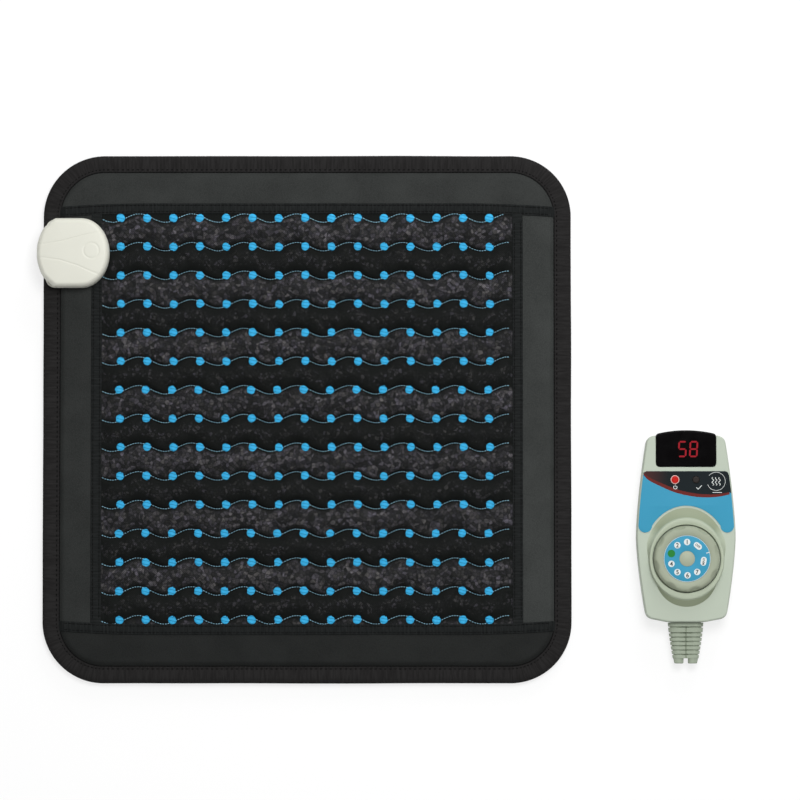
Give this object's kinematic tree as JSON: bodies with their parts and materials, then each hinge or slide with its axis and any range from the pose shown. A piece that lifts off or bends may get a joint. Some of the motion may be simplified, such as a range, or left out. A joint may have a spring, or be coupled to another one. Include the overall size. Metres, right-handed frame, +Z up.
{
  "type": "heating pad with controller",
  "caption": "Square quilted heating pad with stone-filled channels and a corner lead box, with a hand controller that has a display, a turning dial and push buttons.",
  "frame": {"origin": "middle of the pad's underside, on the surface that the pad and the controller lie on", "axes": "+X from the pad towards the controller, +Y towards the edge that the lead box stands near, +Z up out of the quilted face"},
  "size_m": [0.5923, 0.45, 0.039],
  "materials": {
    "binding_tape": "ribbed woven tape",
    "leatherette": "fine grained, satin",
    "inner_tape": "ribbed woven tape",
    "mesh_cloth": "open knitted mesh",
    "pale_stone": "crushed, grey violet",
    "dark_stone": "crushed, black",
    "lining_cloth": "plain woven",
    "foam": "soft padding",
    "felt": "needle felt",
    "foil": "bright",
    "wire_sheath": "silicone sheath",
    "cream_plastic": "satin",
    "pale_plastic": "satin",
    "boot_rubber": "satin",
    "smoked_lens": "polished",
    "label_film": "printed film",
    "red_key": "satin gloss",
    "dark_key": "satin gloss",
    "circuit_board": "coated laminate",
    "black_part": "moulded",
    "ivory_part": "moulded",
    "steel": "plated"
  },
  "bodies": {
    "base": {"back_cover": "leatherette", "foam_layer": "foam", "reflective_foil": "foil", "heating_wire": "wire_sheath", "cover_felt": "felt", "panel_undercloth": "lining_cloth", "stone_fill_01": "pale_stone", "stone_fill_02": "dark_stone", "stone_fill_03": "pale_stone", "stone_fill_04": "dark_stone", "stone_fill_05": "pale_stone", "stone_fill_06": "dark_stone", "stone_fill_07": "pale_stone", "stone_fill_08": "dark_stone", "stone_fill_09": "pale_stone", "stone_fill_10": "dark_stone", "stone_fill_11": "pale_stone", "stone_fill_12": "dark_stone", "stone_fill_13": "pale_stone", "stone_fill_14": "dark_stone", "mesh_panel": "mesh_cloth", "border_top": "leatherette", "border_bottom": "leatherette", "border_left": "leatherette", "border_right": "leatherette", "inner_tape_top": "inner_tape", "inner_tape_bottom": "inner_tape", "inner_tape_left": "inner_tape", "inner_tape_right": "inner_tape", "edge_binding": "binding_tape", "box_base": "cream_plastic", "box_cap": "cream_plastic", "box_backing_plate": "cream_plastic", "box_screw_1": "steel", "box_screw_2": "steel", "cord_gland": "black_part", "terminal_block": "ivory_part", "thermal_cutout": "black_part", "lower_case": "pale_plastic", "upper_case": "pale_plastic", "case_screw_1": "steel", "case_screw_2": "steel", "case_screw_3": "steel", "case_screw_4": "steel", "display_window": "smoked_lens", "display_module": "black_part", "face_label": "label_film", "potentiometer": "steel", "power_switch": "black_part", "confirm_switch": "black_part", "control_board": "circuit_board", "power_board": "circuit_board", "transformer": "black_part", "relay": "black_part", "cable_boot": "boot_rubber"},
    "dial": {"dial_knob": "pale_plastic", "dial_scale": "label_film", "potentiometer_shaft": "steel"},
    "power_key": {"power_button": "red_key"},
    "confirm_key": {"confirm_button": "dark_key"}
  },
  "joints": [
    {"name": "dial_turn", "type": "hinge", "parent": "base", "child": "dial", "pos_m": [0.321, -0.1195, 0.033], "axis": [0, 0, 1], "range_deg": [-260, 40]},
    {"name": "power_press", "type": "slide", "parent": "base", "child": "power_key", "axis": [0, 0, -1], "range_m": [0, 0.001], "stiffness_N_per_m": 1200, "springref_m": -0.0004},
    {"name": "confirm_press", "type": "slide", "parent": "base", "child": "confirm_key", "axis": [0, 0, -1], "range_m": [0, 0.001], "stiffness_N_per_m": 1200, "springref_m": -0.0004}
  ]
}
